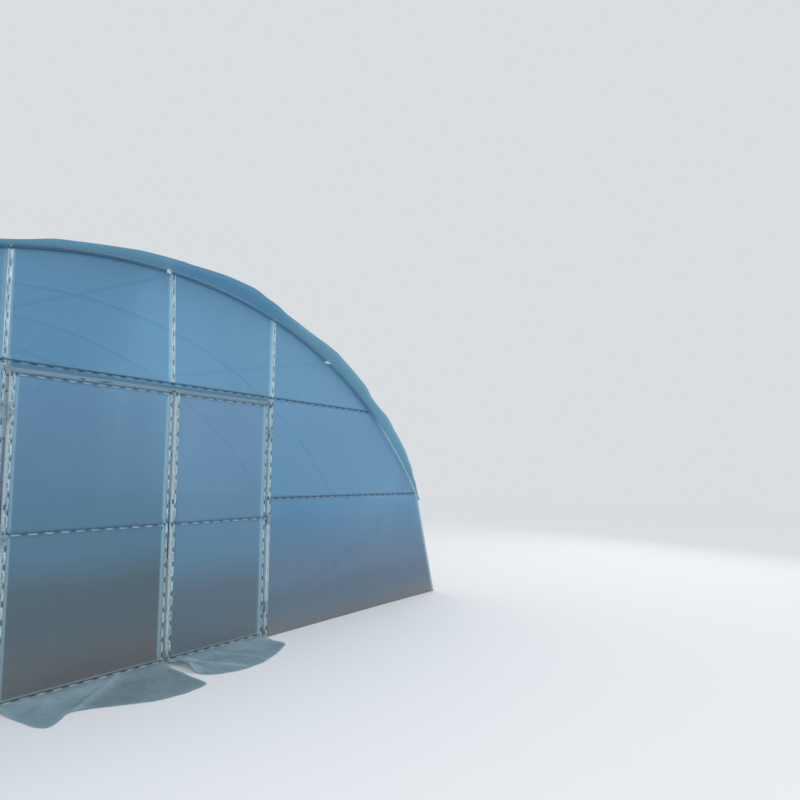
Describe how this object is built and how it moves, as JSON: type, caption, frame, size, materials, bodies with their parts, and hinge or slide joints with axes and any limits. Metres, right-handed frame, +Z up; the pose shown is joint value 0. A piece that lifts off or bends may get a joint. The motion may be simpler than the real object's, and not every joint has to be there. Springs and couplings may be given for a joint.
{
  "type": "polytunnel greenhouse",
  "caption": "Film-covered polytunnel with arched tube hoops on leaning legs, gable frames with film lock channels, and a pair of hinged film doors.",
  "frame": {"origin": "centre of the part's box, on the ground", "axes": "+X along the front gable to the right as seen from outside, +Y down the tunnel away from the doors, +Z up"},
  "size_m": [8.039, 7.8897, 2.8641],
  "materials": {
    "galvanised_tube": "hot-dip galvanised",
    "lock_channel": "galvanised strip",
    "hinge_steel": "zinc plated",
    "film": "translucent pale blue polythene"
  },
  "bodies": {
    "frame": {"back_arch_channel": "lock_channel", "back_centre_post": "galvanised_tube", "back_film": "film", "back_gable_channels": "lock_channel", "back_header": "galvanised_tube", "back_left_brace": "galvanised_tube", "back_left_post": "galvanised_tube", "back_right_brace": "galvanised_tube", "back_right_post": "galvanised_tube", "back_side_rails": "galvanised_tube", "front_arch_channel": "lock_channel", "front_centre_post": "galvanised_tube", "front_gable_channels": "lock_channel", "front_header": "galvanised_tube", "front_left_brace": "galvanised_tube", "front_left_film": "film", "front_left_post": "galvanised_tube", "front_right_brace": "galvanised_tube", "front_right_film": "film", "front_right_post": "galvanised_tube", "front_side_rails": "galvanised_tube", "front_top_film": "film", "hoop_1": "galvanised_tube", "hoop_2": "galvanised_tube", "hoop_3": "galvanised_tube", "hoop_4": "galvanised_tube", "hoop_5": "galvanised_tube", "hoop_6": "galvanised_tube", "hoop_7": "galvanised_tube", "left_lock_rail": "lock_channel", "left_post_hinges": "hinge_steel", "left_purlin": "galvanised_tube", "left_side_film": "film", "ridge_purlin": "galvanised_tube", "right_lock_rail": "lock_channel", "right_post_hinges": "hinge_steel", "right_purlin": "galvanised_tube", "right_side_film": "film", "roof_film": "film", "roof_film_edge": "film"},
    "left_door": {"left_door_channels": "lock_channel", "left_door_film": "film", "left_door_frame": "galvanised_tube", "left_door_hinges": "hinge_steel", "left_door_tail": "film"},
    "right_door": {"right_door_channels": "lock_channel", "right_door_film": "film", "right_door_frame": "galvanised_tube", "right_door_hinges": "hinge_steel", "right_door_tail": "film"}
  },
  "joints": [
    {"name": "left_door_hinge", "type": "hinge", "parent": "frame", "child": "left_door", "pos_m": [-1.108, -3.343, 0.98], "axis": [0, 0, -1], "range_deg": [0, 90]},
    {"name": "right_door_hinge", "type": "hinge", "parent": "frame", "child": "right_door", "pos_m": [1.108, -3.343, 0.98], "axis": [0, 0, 1], "range_deg": [0, 90]}
  ]
}
